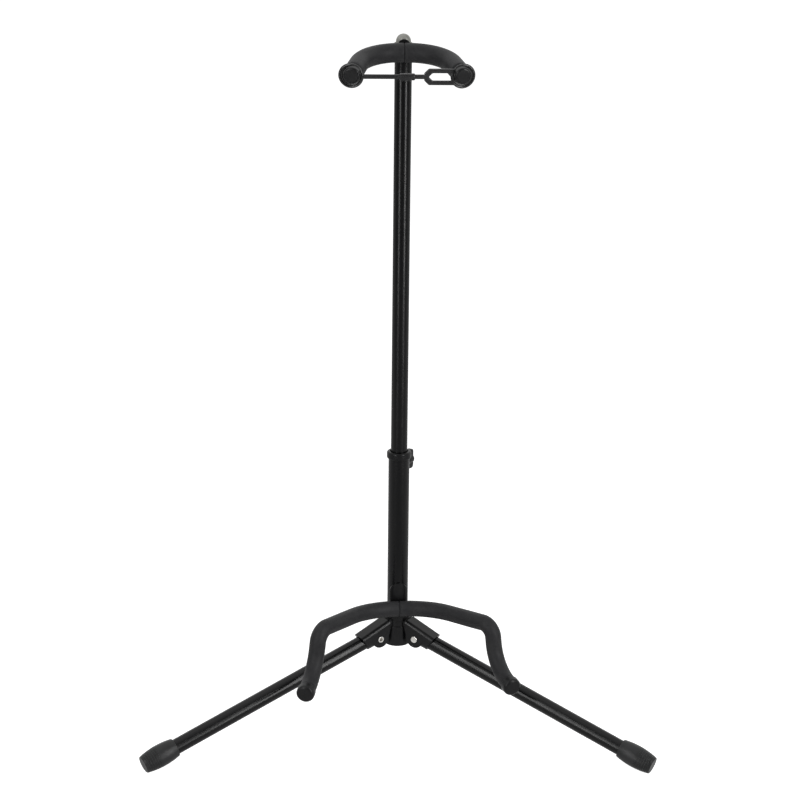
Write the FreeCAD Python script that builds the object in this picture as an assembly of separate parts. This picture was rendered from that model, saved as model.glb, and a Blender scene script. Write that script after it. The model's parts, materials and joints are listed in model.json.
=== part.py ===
"""Folding tripod guitar stand with a sliding mast, a padded cradle and a swivelling neck yoke.

Millimetres, +Z up, the player's side of the stand towards -Y. Every piece is built with the pole
on the Z axis and the floor at Z zero, then the whole stand is moved so that its origin lies in
the middle of its footprint.
"""

import FreeCAD, Part
import math
import os

os.makedirs("parts", exist_ok=True)

Vec = FreeCAD.Vector
AXIS_X = Vec(1, 0, 0)
AXIS_Y = Vec(0, 1, 0)
AXIS_Z = Vec(0, 0, 1)
ORIGIN = Vec(0, 0, 0)

# Fits, as radial gaps or face gaps
press_gap = 0.03  # pressed, glued and threaded fits inside one rigid group
running_gap = 0.06  # a pin that turns in its hole
sliding_gap = 0.08  # the mast in its guide and its end bush in the lower tube
pass_gap = 0.5  # a moving piece that passes another
screw_hole_gap = 0.4  # the clamp screw in the holes that it only passes through
overrun = 6.0  # how far a cut runs past the faces that it opens
same_place = 1e-4  # places nearer than this to each other count as one

# Legs, all three alike, hinged at the hub and sloping down to the floor
leg_azimuth_rear = 90.0
leg_azimuth_step = 120.0
leg_rear_turn = -1.1  # the rear leg stands this much off the even spacing
leg_slope = 17.2
leg_od = 16.0
leg_wall = 1.2
leg_length = 288.0
leg_tail = 7.0  # how far the tube reaches behind the pivot
leg_rise = 1.6  # the tube's centre line above the pivot, square to the leg

# Rubber feet, ribbed barrels with a closed toe and a small flat where they stand
foot_length = 37.3
foot_toe_wall = 4.3
foot_heel_d = 19.3
foot_belly_d = 23.0
foot_toe_d = 17.9
foot_toe_round = 1.2
foot_flat_depth = 0.7
foot_groove_count = 6
foot_groove_width = 0.9
foot_groove_depth = 0.6
foot_groove_start = 3.4  # first groove from the toe
foot_groove_pitch = 2.5

# Hub casting that carries the lower tube and the three leg hinges
hub_d = 28.0
hub_barrel_height = 22.0
hub_skirt = 3.7  # barrel below the lugs
hub_neck_d = 26.0
hub_neck_height = 10.5
hub_floor = 6.5
hub_edge = 0.8
lug_reach = 12.0  # from the barrel's face to the hinge pin
lug_thickness = 10.0
lug_eye_d = 15.0
lug_side_gap = 0.25
pad_width = 14.0
pad_face = 0.3  # stop pad proud of the barrel
pad_height = 11.0
pad_drop = 2.5  # stop pad ends this far below the hub's top

# Leg knuckles, moulded sleeves with two cheeks and a stop shoulder
knuckle_width = 18.8
knuckle_sleeve_d = 18.6
knuckle_eye_d = 19.2
knuckle_top_reach = 20.1
knuckle_bottom_reach = 15.0
knuckle_shoulder_height = 18.8  # above the pivot
knuckle_shoulder_foot = 7.3  # lower end of the stop face above the pivot
knuckle_shoulder_chamfer = 1.4
knuckle_round = 4.0

# Hinge rivets, solid head on one side and a tubular upset end on the other
rivet_d = 6.0
rivet_head_d = 7.3
rivet_head_height = 1.5
rivet_head_round = 0.7
rivet_tube_d = 6.6
rivet_tube_height = 1.0
rivet_tube_bore = 3.8
rivet_tube_depth = 6.0

# Lower tube with its foot plug and the screw that holds it in the hub
tube_od = 22.0
tube_wall = 1.2
tube_length = 202.0
plug_length = 14.0
hub_screw_d = 5.0
hub_screw_length = 17.5
hub_screw_head_d = 9.5
hub_screw_head_height = 2.8
hub_screw_recess = 3.0
hub_screw_head_gap = 0.45
hub_screw_socket_af = 3.0
hub_screw_socket_depth = 1.6

# The post, with cradle and height clamp, stands turned a little against the legs
post_turn = 4.7

# Height collar, a moulded guide bush with a flange on the tube's top
collar_flange_d = 25.6
collar_flange_height = 7.5
collar_top_round = 2.0
collar_foot_round = 1.2
collar_mouth_d = 19.2
collar_spigot_length = 30.0

# Clamp boss, stud and wing of the height screw
clamp_azimuth = 51.0
clamp_drop = 6.5  # below the tube's top
clamp_boss_d = 11.0
clamp_boss_height = 4.5
clamp_stud_d = 6.0
clamp_tip_gap = 0.3
clamp_stud_engagement = 4.0
wing_gap = 0.5
wing_hub_d = 10.0
wing_hub_length = 6.5
wing_span = 21.0
wing_depth = 8.6
wing_thickness = 4.0
wing_round = 3.4
wing_edge = 0.8

# Mast, the sliding upper tube, with a plastic bush at its foot
mast_od = 17.3
mast_wall = 1.2
mast_length = 495.0
mast_overlap = 102.0
mast_bush_height = 10.0
mast_bush_spigot = 14.0
mast_bush_bore = 11.0

# Moulded hub at the mast's top and the swivel stack above it
yoke_hub_spigot = 20.0
yoke_hub_sleeve = 25.5
swivel_bolt_d = 10.0
swivel_bolt_depth = 38.0
swivel_bolt_into_nut = 9.5
washer_hole_gap = 0.4
friction_washer_d = 16.4
friction_washer_height = 1.5
upper_washer_d = 18.0
upper_washer_height = 1.6
cap_nut_af = 16.0
cap_nut_height = 15.0
cap_nut_hex_height = 6.5
cap_nut_dome_d = 14.9
cap_nut_bore_depth = 11.0

# Yoke bracket, a pressed angle: flat eye under the nut, upright ear welded to the rod
bracket_sheet = 3.0
bracket_ear_width = 13.0
bracket_eye_d = 16.4
bracket_ear_top = 12.5  # above the plate's upper face
bracket_ear_gap = 2.35  # from the mast's face to the back of the ear
saddle_height = 5.0
saddle_depth = 2.0

# Neck yoke, a bent rod in two foam sleeves, its plane tipped down to the front
rod_d = 8.0
yoke_foam_d = 19.0
yoke_tip_down = 12.0
yoke_bar_rise = 4.5  # crossbar's centre above the yoke hub
yoke_turn = 1.7  # swivelled a little at rest
yoke_shoulder_half = 37.6
yoke_shoulder_radius = 43.4
yoke_tip_half = 53.5
yoke_reach = 68.3
yoke_notch_gap = 0.4

# Round end caps of the yoke, with a stretch of bare rod behind them for the strap
yoke_cap_d = 16.6
yoke_cap_length = 6.5
yoke_cap_round = 2.0
strap_space = 4.6  # bare rod between cap and foam
cap_rod_wall = 2.5  # material in front of the rod's end

# Neck strap, a flat rubber band with a ring that hangs on the rod behind each cap
strap_thickness = 3.0
strap_band_height = 4.4
strap_ring_d = 24.8
strap_rim_width = 2.9
strap_recess = 0.9  # the ring's inner part lies back from its rim
strap_hang = 2.7  # ring's centre below the rod's
strap_spread = 2.0  # and outwards from it
strap_seat_gap = 0.3  # from the rod to the ring's hole where it hangs
strap_frame_inner = 16.3
strap_frame_height = 16.0
strap_frame_side = 4.1
strap_frame_end = 4.7
strap_frame_corner = 4.4
strap_slot_corner = 3.3
strap_rib_width = 15.0
strap_rib_height = 6.4
strap_rib_thickness = 0.7

# Cradle, a bent rod in two foam sleeves, welded to a bracket on the lower tube
cradle_foam_d = 16.7
cradle_rise = 12.8  # crossbar above the hub's top
cradle_shoulder_half = 32.2
cradle_shoulder_radius = 64.6
cradle_corner_half = 89.3
cradle_corner_reach = 71.4
cradle_corner_rise = 8.7
cradle_corner_radius = 13.0
cradle_bend_half = 94.4
cradle_bend_drop = 39.5
cradle_bend_radius = 31.9
cradle_tip_half = 106.4
cradle_tip_reach = 111.2
cradle_tip_drop = 44.6
cradle_cap_d = 18.8
cradle_cap_length = 8.5
cradle_cap_round = 3.2
cradle_sheet = 2.0
cradle_plate_width = 18.5
cradle_plate_rise = 39.0  # plate's rounded top above the hub
cradle_tail_width = 13.0
cradle_tail_depth = 4.5
cradle_tail_gap = 0.2
cradle_weld_gap = 1.0  # from the plate's face to the rod, filled by the weld saddle
cradle_notch_gap = 0.5

# Places that follow from the sizes above
leg_azimuths = {
    "left": leg_azimuth_rear + leg_azimuth_step,
    "right": leg_azimuth_rear + 2 * leg_azimuth_step,
    "rear": leg_azimuth_rear + leg_rear_turn,
}
slope = math.radians(leg_slope)
foot_toe_u = leg_length - leg_tail + foot_toe_wall
foot_heel_u = foot_toe_u - foot_length
pivot_z = (
    foot_toe_u * math.sin(slope) + (foot_toe_d / 2 - leg_rise) * math.cos(slope) - foot_flat_depth
)
pivot_r = hub_d / 2 + lug_reach
stop_r = hub_d / 2 + pad_face
hub_base_z = pivot_z - lug_eye_d / 2 - hub_skirt
hub_step_z = hub_base_z + hub_barrel_height
hub_top_z = hub_step_z + hub_neck_height
tube_base_z = hub_base_z + hub_floor
tube_top_z = tube_base_z + tube_length
tube_id = tube_od - 2 * tube_wall
mast_id = mast_od - 2 * mast_wall
mast_base_z = tube_top_z - mast_overlap
mast_top_z = mast_base_z + mast_length
yoke_hub_top_z = mast_top_z + yoke_hub_sleeve
plate_base_z = yoke_hub_top_z + friction_washer_height
plate_top_z = plate_base_z + bracket_sheet
nut_base_z = plate_top_z + upper_washer_height
yoke_bar_z = yoke_hub_top_z + yoke_bar_rise
ear_face = mast_od / 2 + bracket_ear_gap + bracket_sheet
yoke_bar_reach = ear_face + rod_d / 2
strap_hole_r = math.hypot(strap_hang, strap_spread) + rod_d / 2 + strap_seat_gap
cradle_bar_z = hub_top_z + cradle_rise
cradle_bar_reach = tube_od / 2 + cradle_sheet + cradle_weld_gap + rod_d / 2
clamp_z = tube_top_z - clamp_drop


def cylinder(radius, length, base, direction):
    """Round bar of one radius from its base centre along a direction."""
    return Part.makeCylinder(radius, length, base, direction)


def upright(radius, z_low, z_high):
    """Round bar on the pole's axis between two heights."""
    return cylinder(radius, z_high - z_low, Vec(0, 0, z_low), AXIS_Z)


def pipe(outer_d, inner_d, z_low, z_high):
    """Tube on the pole's axis between two heights."""
    outer = upright(outer_d / 2, z_low, z_high)
    return outer.cut(upright(inner_d / 2, z_low - overrun, z_high + overrun))


def block(x_low, x_high, y_low, y_high, z_low, z_high):
    """Rectangular block between two corners."""
    return Part.makeBox(x_high - x_low, y_high - y_low, z_high - z_low, Vec(x_low, y_low, z_low))


def prism(points, direction):
    """Straight prism of a closed outline."""
    return Part.Face(Part.makePolygon(points + points[:1])).extrude(direction)


def fuse(shapes):
    """One clean solid of several that touch or overlap."""
    return shapes[0].multiFuse(shapes[1:]).removeSplitter()


def rounded(shape, radius, chosen):
    """Round the edges that a test picks."""
    return shape.makeFillet(radius, [edge for edge in shape.Edges if chosen(edge)])


def at_height(z):
    """Test for edges that lie flat at one height."""

    def chosen(edge):
        box = edge.BoundBox
        return abs(box.ZMin - z) < same_place and abs(box.ZMax - z) < same_place

    return chosen


def unit(vector):
    """Copy of a vector with length one."""
    return Vec(vector).normalize()


def shortened(points, cut_back):
    """The same points with the last one drawn back along its run."""
    run = unit(points[-1] - points[-2])
    return points[:-1] + [points[-1] - run * cut_back]


def rounded_path(points, radii):
    """Wire of straight runs through points, joined by tangent arcs of the given radii."""
    edges = []
    start = points[0]
    for before, corner, after, radius in zip(points, points[1:], points[2:], radii):
        back = unit(before - corner)
        ahead = unit(after - corner)
        half_turn = (math.pi - back.getAngle(ahead)) / 2
        tangent = radius * math.tan(half_turn)
        first = corner + back * tangent
        last = corner + ahead * tangent
        bisector = unit(back + ahead)
        middle = corner + bisector * (radius / math.cos(half_turn) - radius)
        edges.append(Part.LineSegment(start, first).toShape())
        edges.append(Part.Arc(first, middle, last).toShape())
        start = last
    edges.append(Part.LineSegment(start, points[-1]).toShape())
    return Part.Wire(edges)


def swept(points, radii, diameter):
    """Round bar along a rounded path."""
    path = rounded_path(points, radii)
    ring = Part.Wire(Part.makeCircle(diameter / 2, points[0], points[1] - points[0]))
    return path.makePipeShell([ring], True, False)


def sleeve_on_rod(points, radii, foam_d):
    """Foam sleeve with its bore, along one half of a bent rod."""
    outer = swept(points, radii, foam_d)
    lead = unit(points[0] - points[1]) * overrun
    tail = unit(points[-1] - points[-2]) * overrun
    bore_points = [points[0] + lead] + points[1:-1] + [points[-1] + tail]
    return outer.cut(swept(bore_points, radii, rod_d + 2 * press_gap))


def mirrored(points):
    """The same points on the other side of the stand."""
    return [Vec(-point.x, point.y, point.z) for point in points]


def whole_rod(points, radii, cut_back):
    """Bent rod through both halves of a symmetric path, drawn back at both ends."""
    right = shortened(points, cut_back)
    left = mirrored(right)
    return swept(left[:0:-1] + right[1:], radii[::-1] + radii, rod_d)


def lean_leg(shape):
    """Turn a piece from the leg's own frame (X along the leg) to its slope at rest."""
    turned = shape.copy()
    turned.rotate(ORIGIN, AXIS_Y, leg_slope)
    return turned


def lean_point(u, w):
    """Point of the leg's own frame, in the frame at rest with the pivot at zero."""
    return Vec(u * math.cos(slope) + w * math.sin(slope), 0, w * math.cos(slope) - u * math.sin(slope))


def place_leg(shape, azimuth):
    """Carry a piece from the pivot's frame to its place round the hub."""
    placed = shape.copy()
    placed.translate(Vec(pivot_r, 0, pivot_z))
    placed.rotate(ORIGIN, AXIS_Z, azimuth)
    return placed


def turn_post(shape):
    """Turn a piece with the post against the legs."""
    turned = shape.copy()
    turned.rotate(ORIGIN, AXIS_Z, post_turn)
    return turned


def turn_yoke(shape):
    """Turn a piece of the yoke about the pole to its place at rest."""
    turned = shape.copy()
    turned.rotate(ORIGIN, AXIS_Z, yoke_turn)
    return turned


def make_leg_tube():
    """Leg tube with an open slot over the hub's lug and a hole for the rivet."""
    base = Vec(-leg_tail, 0, leg_rise)
    tube = cylinder(leg_od / 2, leg_length, base, AXIS_X)
    inner = cylinder(leg_od / 2 - leg_wall, leg_length + 2 * overrun, base - AXIS_X * overrun, AXIS_X)
    slot_half = lug_thickness / 2 + lug_side_gap
    slot_end = lug_eye_d / 2 + pass_gap
    slot = block(-leg_tail - overrun, slot_end, -slot_half, slot_half, -leg_od, leg_od)
    return tube.cut([inner, slot, rivet_hole()])


def rivet_hole():
    """Hole for the rivet through pieces that hold it tight."""
    return cylinder(rivet_d / 2 + press_gap, 2 * knuckle_width, Vec(0, -knuckle_width, 0), AXIS_Y)


def make_knuckle():
    """Moulded knuckle in the frame at rest: sleeve, two cheeks, eye and stop shoulder."""
    half = knuckle_width / 2
    sleeve_r = knuckle_sleeve_d / 2
    back = stop_r - pivot_r
    top_end = lean_point(knuckle_top_reach, leg_rise + sleeve_r)
    bottom_end = lean_point(knuckle_bottom_reach, leg_rise - sleeve_r)
    outline = [
        Vec(back, -half, knuckle_shoulder_foot),
        Vec(back, -half, knuckle_shoulder_height - knuckle_shoulder_chamfer),
        Vec(back + knuckle_shoulder_chamfer, -half, knuckle_shoulder_height),
        Vec(top_end.x, -half, top_end.z),
        Vec((top_end.x + bottom_end.x) / 2, -half, (top_end.z + bottom_end.z) / 2),
        Vec(0, -half, 0),
        Vec(-knuckle_eye_d / 2, -half, 0),
    ]
    cheeks = prism(outline, AXIS_Y * knuckle_width)
    ridge_start = outline[2]
    ridge_end = outline[3]

    def on_ridge(edge):
        ends = [vertex.Point for vertex in edge.Vertexes]
        return all(
            min(abs(p.x - ridge_start.x), abs(p.x - ridge_end.x)) < same_place for p in ends
        ) and abs(ends[0].x - ends[-1].x) > knuckle_round

    cheeks = rounded(cheeks, knuckle_round, on_ridge)
    eye = cylinder(knuckle_eye_d / 2, knuckle_width, Vec(0, -half, 0), AXIS_Y)
    sleeve = lean_leg(cylinder(sleeve_r, knuckle_top_reach, Vec(0, 0, leg_rise), AXIS_X))
    body = fuse([cheeks, eye, sleeve])
    slant = (top_end - bottom_end) * 0.5
    far = AXIS_X * (knuckle_top_reach + knuckle_sleeve_d)
    trim = [bottom_end - slant, top_end + slant, top_end + slant + far, bottom_end - slant + far]
    shift = AXIS_Y * (-half - overrun)
    trim_prism = prism([point + shift for point in trim], AXIS_Y * (knuckle_width + 2 * overrun))
    bore = cylinder(
        leg_od / 2 + press_gap, leg_length, Vec(-leg_tail - press_gap, 0, leg_rise), AXIS_X
    )
    return body.cut([trim_prism, lean_leg(bore), rivet_hole()] + knuckle_slot())


def knuckle_slot():
    """Room for the hub's lug from the open leg to the folded one."""
    slot_half = lug_thickness / 2 + lug_side_gap
    reach = lug_eye_d / 2 + pass_gap
    far = knuckle_sleeve_d + lug_eye_d
    swing = cylinder(reach, 2 * slot_half, Vec(0, -slot_half, 0), AXIS_Y)
    inward = block(-far, 0, -slot_half, slot_half, -far, reach)
    below = lean_leg(block(-far, reach, -slot_half, slot_half, -far, 0))
    return [swing, inward, below]


def make_rivet():
    """Hinge rivet across the knuckle: solid head one side, open upset end the other."""
    half = knuckle_width / 2
    shank = cylinder(rivet_d / 2, knuckle_width, Vec(0, -half, 0), AXIS_Y)
    head = cylinder(rivet_head_d / 2, rivet_head_height, Vec(0, -half, 0), AXIS_Y * -1)
    head = rounded(head, rivet_head_round, lambda edge: edge.BoundBox.YMax < -half - rivet_head_round)
    upset = cylinder(rivet_tube_d / 2, rivet_tube_height, Vec(0, half, 0), AXIS_Y)
    mouth = Vec(0, half + rivet_tube_height, 0)
    hole = cylinder(rivet_tube_bore / 2, rivet_tube_depth, mouth, AXIS_Y * -1)
    return fuse([shank, head, upset]).cut(hole)


def make_foot():
    """Rubber foot in the leg's own frame: barrel with grooves near its toe."""
    heel_r = foot_heel_d / 2
    belly_r = foot_belly_d / 2
    toe_r = foot_toe_d / 2
    middle = foot_length / 2
    heel = Vec(0, 0, heel_r)
    belly = Vec(middle, 0, belly_r)
    toe = Vec(foot_length, 0, toe_r)
    back = Part.LineSegment(ORIGIN, heel).toShape()
    side = Part.Arc(heel, belly, toe).toShape()
    front = Part.LineSegment(toe, Vec(foot_length, 0, 0)).toShape()
    axis = Part.LineSegment(Vec(foot_length, 0, 0), ORIGIN).toShape()
    barrel = Part.Face(Part.Wire([back, side, front, axis])).revolve(ORIGIN, AXIS_X, 360)
    barrel = rounded(barrel, foot_toe_round, lambda edge: edge.BoundBox.XMin > foot_length - same_place)
    grooves = []
    for index in range(foot_groove_count):
        place = foot_length - foot_groove_start - index * foot_groove_pitch
        share = (place - middle) / middle
        radius = belly_r - (belly_r - toe_r) * share**2
        base = Vec(place - foot_groove_width / 2, 0, 0)
        ring = cylinder(radius + overrun, foot_groove_width, base, AXIS_X)
        core = cylinder(radius - foot_groove_depth, foot_groove_width, base, AXIS_X)
        grooves.append(ring.cut(core))
    bore_depth = foot_length - foot_toe_wall
    bore_base = AXIS_X * -overrun
    bore = cylinder(leg_od / 2 + press_gap, bore_depth + overrun, bore_base, AXIS_X)
    foot = barrel.cut(grooves + [bore])
    foot.translate(Vec(foot_heel_u, 0, leg_rise))
    return foot


def stand_flat(foot):
    """Cut a placed foot flat where it meets the floor."""
    reach = foot_toe_u + pivot_r + foot_belly_d
    return foot.cut(block(-reach, reach, -reach, reach, -foot_belly_d, 0))


def make_hub():
    """Hub casting: barrel, neck, three hinge lugs and three stop pads."""
    barrel = upright(hub_d / 2, hub_base_z, hub_step_z)
    barrel = rounded(barrel, hub_edge, at_height(hub_base_z))
    neck = upright(hub_neck_d / 2, hub_step_z, hub_top_z)
    neck = rounded(neck, hub_edge, at_height(hub_top_z))
    pieces = [barrel, neck]
    holes = []
    eye_r = lug_eye_d / 2
    lug_half = lug_thickness / 2
    pad_top = hub_top_z - pad_drop - pivot_z
    for azimuth in leg_azimuths.values():
        arm = block(-pivot_r, 0, -lug_half, lug_half, -eye_r, eye_r)
        eye = cylinder(eye_r, lug_thickness, Vec(0, -lug_half, 0), AXIS_Y)
        pad = block(
            -pivot_r + tube_od / 2, stop_r - pivot_r, -pad_width / 2, pad_width / 2,
            pad_top - pad_height, pad_top,
        )
        pieces += [place_leg(piece, azimuth) for piece in (arm, eye, pad)]
        pin = cylinder(
            rivet_d / 2 + running_gap, 2 * lug_thickness, Vec(0, -lug_thickness, 0), AXIS_Y
        )
        holes.append(place_leg(pin, azimuth))
    holes.append(upright(tube_od / 2 + press_gap, tube_base_z, hub_top_z + overrun))
    holes.append(upright(hub_screw_d / 2 + press_gap, hub_base_z - overrun, tube_base_z + overrun))
    recess_r = hub_screw_head_d / 2 + hub_screw_head_gap
    holes.append(upright(recess_r, hub_base_z - overrun, hub_base_z + hub_screw_recess))
    notch_half = cradle_tail_width / 2 + cradle_tail_gap
    notch = block(
        -notch_half, notch_half, -hub_d, 0, hub_top_z - cradle_tail_depth - cradle_tail_gap,
        hub_top_z + overrun,
    )
    holes.append(turn_post(notch))
    return fuse(pieces).cut(holes)


def make_tube_plug():
    """Moulded plug in the lower tube's foot, threaded for the hub's screw."""
    plug = upright(tube_id / 2 - press_gap, tube_base_z, tube_base_z + plug_length)
    return plug.cut(
        upright(hub_screw_d / 2 + press_gap, tube_base_z - overrun, tube_base_z + plug_length + overrun)
    )


def make_hub_screw():
    """Screw from below through the hub's floor into the plug."""
    head_base = hub_base_z + hub_screw_recess - hub_screw_head_height
    head_top = hub_base_z + hub_screw_recess
    head = upright(hub_screw_head_d / 2, head_base, head_top)
    head = rounded(head, hub_edge, at_height(head_base))
    shank = upright(hub_screw_d / 2, head_top, head_base + hub_screw_length)
    socket = hexagon(hub_screw_socket_af, head_base - overrun, head_base + hub_screw_socket_depth)
    return fuse([head, shank]).cut(socket)


def hexagon(across_flats, z_low, z_high):
    """Hexagonal bar on the pole's axis."""
    corner_r = across_flats / math.sqrt(3)
    corners = []
    for step in range(6):
        angle = step * math.pi / 3
        corners.append(Vec(corner_r * math.cos(angle), corner_r * math.sin(angle), z_low))
    return prism(corners, AXIS_Z * (z_high - z_low))


def radial_bar(radius, r_low, r_high):
    """Round bar square to the pole at the clamp's height and azimuth."""
    bar = cylinder(radius, r_high - r_low, Vec(r_low, 0, clamp_z), AXIS_X)
    bar.rotate(ORIGIN, AXIS_Z, clamp_azimuth)
    return bar


def make_lower_tube():
    """Lower tube with the clamp screw's hole."""
    tube = pipe(tube_od, tube_id, tube_base_z, tube_top_z)
    return tube.cut(radial_bar(clamp_stud_d / 2 + screw_hole_gap, 0, tube_od))


def make_collar():
    """Guide bush: flange on the tube, wide mouth round the mast, long spigot inside."""
    top = tube_top_z + collar_flange_height
    flange = upright(collar_flange_d / 2, tube_top_z, top)
    flange = rounded(flange, collar_top_round, at_height(top))
    flange = rounded(flange, collar_foot_round, at_height(tube_top_z))
    spigot = upright(tube_id / 2 - press_gap, tube_top_z - collar_spigot_length, tube_top_z)
    bush = fuse([flange, spigot])
    bore = upright(mast_od / 2 + sliding_gap, tube_top_z - collar_spigot_length - overrun, top + overrun)
    mouth = upright(collar_mouth_d / 2, tube_top_z, top + overrun)
    return bush.cut([bore, mouth, radial_bar(clamp_stud_d / 2 + screw_hole_gap, 0, tube_od)])


def make_clamp_boss():
    """Threaded boss on the lower tube for the clamp screw."""
    boss = radial_bar(clamp_boss_d / 2, tube_od / 2 - tube_wall, tube_od / 2 + clamp_boss_height)
    tube = upright(tube_od / 2, tube_base_z, tube_top_z)
    return boss.cut([tube, radial_bar(clamp_stud_d / 2 + running_gap, 0, 2 * tube_od)])


def make_clamp_stud():
    """Threaded stud whose tip bears on the mast."""
    inner = mast_od / 2 + clamp_tip_gap
    return radial_bar(clamp_stud_d / 2, inner, wing_root() + clamp_stud_engagement)


def wing_root():
    """Radius where the wing's hub starts."""
    return tube_od / 2 + clamp_boss_height + wing_gap


def make_wing():
    """Wing grip moulded on the stud, upright at rest."""
    root = wing_root()
    plate = block(
        root, root + wing_depth, -wing_thickness / 2, wing_thickness / 2,
        clamp_z - wing_span / 2, clamp_z + wing_span / 2,
    )

    def across(edge):
        return abs(edge.BoundBox.YLength - wing_thickness) < same_place

    plate = rounded(plate, wing_round, across)
    hub = cylinder(wing_hub_d / 2, wing_hub_length, Vec(root, 0, clamp_z), AXIS_X)
    hub = rounded(hub, wing_edge, lambda edge: edge.BoundBox.XMin > root + wing_hub_length - same_place)
    grip = fuse([plate, hub])
    grip.rotate(ORIGIN, AXIS_Z, clamp_azimuth)
    return grip.cut(radial_bar(clamp_stud_d / 2 + press_gap, 0, root + clamp_stud_engagement))


def make_mast_bush():
    """Plastic bush at the mast's foot that runs in the lower tube."""
    base = mast_base_z - mast_bush_height
    runner = upright(tube_id / 2 - sliding_gap, base, mast_base_z)
    runner = rounded(runner, wing_edge, at_height(base))
    spigot = upright(mast_id / 2 - press_gap, mast_base_z, mast_base_z + mast_bush_spigot)
    bore = upright(mast_bush_bore / 2, base - overrun, mast_base_z + mast_bush_spigot + overrun)
    return fuse([runner, spigot]).cut(bore)


def make_yoke_hub():
    """Moulded hub in the mast's top, flush with the mast, bored for the swivel bolt."""
    sleeve = upright(mast_od / 2, mast_top_z, yoke_hub_top_z)
    sleeve = rounded(sleeve, wing_edge, at_height(yoke_hub_top_z))
    spigot = upright(mast_id / 2 - press_gap, mast_top_z - yoke_hub_spigot, mast_top_z)
    bolt_base = yoke_hub_top_z - swivel_bolt_depth
    bore = upright(swivel_bolt_d / 2 + press_gap, bolt_base, yoke_hub_top_z + overrun)
    return fuse([sleeve, spigot]).cut(bore)


def make_washer(outer_d, z_low, height):
    """Flat washer on the swivel bolt."""
    return pipe(outer_d, swivel_bolt_d + 2 * washer_hole_gap, z_low, z_low + height)


def make_cap_nut():
    """Domed cap nut on the swivel bolt."""
    hexagonal = hexagon(cap_nut_af, nut_base_z, nut_base_z + cap_nut_hex_height)
    bevel_r = cap_nut_af / math.sqrt(3)
    bevel = upright(bevel_r, nut_base_z, nut_base_z + cap_nut_hex_height)
    bevel = bevel.makeChamfer(
        wing_edge, [e for e in bevel.Edges if at_height(nut_base_z + cap_nut_hex_height)(e)]
    )
    dome_r = cap_nut_dome_d / 2
    dome_z = nut_base_z + cap_nut_height - dome_r
    stem = upright(dome_r, nut_base_z + cap_nut_hex_height / 2, dome_z)
    ball = Part.makeSphere(dome_r, Vec(0, 0, dome_z))
    bore = upright(swivel_bolt_d / 2 + press_gap, nut_base_z - overrun, nut_base_z + cap_nut_bore_depth)
    return fuse([hexagonal.common(bevel), stem, ball]).cut(bore)


def make_swivel_bolt():
    """Threaded stud that the yoke turns on."""
    low = yoke_hub_top_z - swivel_bolt_depth
    return upright(swivel_bolt_d / 2, low, nut_base_z + swivel_bolt_into_nut)


def make_yoke_bracket():
    """Pressed angle: eye on the bolt, upright ear behind the rod, weld saddle between."""
    ear_half = bracket_ear_width / 2
    eye = upright(bracket_eye_d / 2, plate_base_z, plate_top_z)
    plate = block(-ear_half, ear_half, -ear_face, 0, plate_base_z, plate_top_z)
    arch_z = plate_top_z + bracket_ear_top - ear_half
    ear = block(-ear_half, ear_half, -ear_face, bracket_sheet - ear_face, plate_base_z, arch_z)
    arch = cylinder(ear_half, bracket_sheet, Vec(0, -ear_face, arch_z), AXIS_Y)
    saddle = block(
        -ear_half, ear_half, -ear_face - saddle_depth, bracket_sheet / 2 - ear_face,
        yoke_bar_z - saddle_height / 2, yoke_bar_z + saddle_height / 2,
    )
    rod = place_yoke(whole_rod(yoke_points(), yoke_radii, cap_rod_wall))
    hole = upright(swivel_bolt_d / 2 + running_gap, plate_base_z - overrun, plate_top_z + overrun)
    return turn_yoke(fuse([eye, plate, ear, arch, saddle]).cut([rod, hole]))


def yoke_points():
    """Centre line of the yoke's right half in its own flat frame, from the middle to the tip."""
    return [
        ORIGIN,
        Vec(yoke_shoulder_half, 0, 0),
        Vec(yoke_tip_half, -yoke_reach, 0),
    ]


yoke_radii = [yoke_shoulder_radius]


def place_yoke(shape):
    """Tip a piece of the flat yoke down to the front and set it on the bracket."""
    placed = shape.copy()
    placed.rotate(ORIGIN, AXIS_X, yoke_tip_down)
    placed.translate(Vec(0, -yoke_bar_reach, yoke_bar_z))
    return placed


def make_yoke_foam(side):
    """Foam sleeve on one half of the yoke, notched for the bracket's ear."""
    points = shortened(yoke_points(), yoke_cap_length + strap_space)
    if side < 0:
        points = mirrored(points)
    foam = place_yoke(sleeve_on_rod(points, yoke_radii, yoke_foam_d))
    half = bracket_ear_width / 2 + yoke_notch_gap
    low = yoke_bar_z - yoke_foam_d
    top = yoke_bar_z + yoke_foam_d
    ear_room = block(-half, half, -ear_face - yoke_notch_gap, yoke_foam_d, low, top)
    saddle_room = block(
        -half, half, -ear_face - saddle_depth - yoke_notch_gap, 0,
        yoke_bar_z - saddle_height / 2 - yoke_notch_gap,
        yoke_bar_z + saddle_height / 2 + yoke_notch_gap,
    )
    return turn_yoke(foam.cut([ear_room, saddle_room]))


def make_end_cap(points, cap_d, length, front_round):
    """Round cap on the end of a rod, with a blind bore for it."""
    tip = points[-1]
    inward = unit(points[-2] - tip)
    cap = cylinder(cap_d / 2, length, tip, inward)
    rims = [edge for edge in cap.Edges if len(edge.Vertexes) == 1]
    rims.sort(key=lambda edge: (edge.BoundBox.Center - tip).Length)
    cap = cap.makeFillet(front_round, rims[:1])
    bore = cylinder(rod_d / 2 + press_gap, length + overrun, tip + inward * cap_rod_wall, inward)
    return cap.cut(bore)


def make_yoke_cap(side):
    """End cap of one arm of the yoke."""
    points = yoke_points() if side > 0 else mirrored(yoke_points())
    cap = make_end_cap(points, yoke_cap_d, yoke_cap_length, yoke_cap_round)
    return turn_yoke(place_yoke(cap))


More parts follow.
